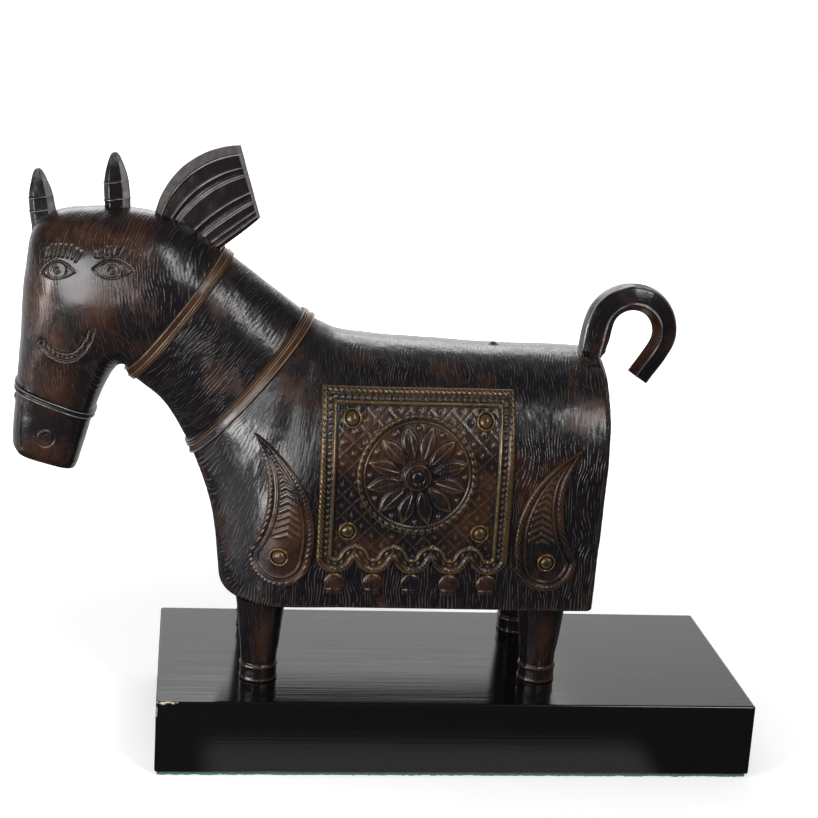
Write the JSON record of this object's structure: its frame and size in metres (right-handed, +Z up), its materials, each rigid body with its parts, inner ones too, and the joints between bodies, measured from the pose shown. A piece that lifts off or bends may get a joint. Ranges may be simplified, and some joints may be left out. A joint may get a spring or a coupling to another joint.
{
  "type": "folk horse figure",
  "caption": "Standing folk horse in dark cast bronze with strapped neck, upright ears, fan crest, hooked tail and relief on its flanks, on a black lacquered wooden plinth.",
  "frame": {"origin": "centre of the felt's underside, the face the figure rests on", "axes": "X along the horse with its head towards -X; Y across it, the carved face looking to -Y; Z up"},
  "size_m": [0.3808, 0.127, 0.3062],
  "materials": {
    "patinated_bronze": "cast bronze with a dark brown-black wax patina, chiselled all over",
    "rubbed_bronze": "cast bronze appliqué, the patina rubbed through to the metal on raised edges",
    "lacquered_wood": "black gloss lacquer on wood",
    "green_felt": "green felt",
    "screw_steel": "plain zinc-plated steel"
  },
  "bodies": {
    "root": {"plinth": "lacquered_wood", "base_felt": "green_felt", "foot_screws": "screw_steel", "foot_washers": "screw_steel", "belly_plate": "patinated_bronze", "body_shell": "patinated_bronze", "neck": "patinated_bronze", "neck_collar": "patinated_bronze", "poll_strap": "patinated_bronze", "head": "patinated_bronze", "noseband": "patinated_bronze", "left_ear": "patinated_bronze", "right_ear": "patinated_bronze", "mane_crest": "patinated_bronze", "tail": "patinated_bronze", "left_front_leg": "patinated_bronze", "left_rear_leg": "patinated_bronze", "right_front_leg": "patinated_bronze", "right_rear_leg": "patinated_bronze", "left_saddle_cloth": "rubbed_bronze", "left_lotus_medallion": "rubbed_bronze", "left_hem_bells": "rubbed_bronze", "left_shoulder_paisley": "rubbed_bronze", "left_haunch_paisley": "rubbed_bronze", "left_studs": "rubbed_bronze", "right_saddle_cloth": "rubbed_bronze", "right_lotus_medallion": "rubbed_bronze", "right_hem_bells": "rubbed_bronze", "right_shoulder_paisley": "rubbed_bronze", "right_haunch_paisley": "rubbed_bronze", "right_studs": "rubbed_bronze"}
  },
  "joints": []
}
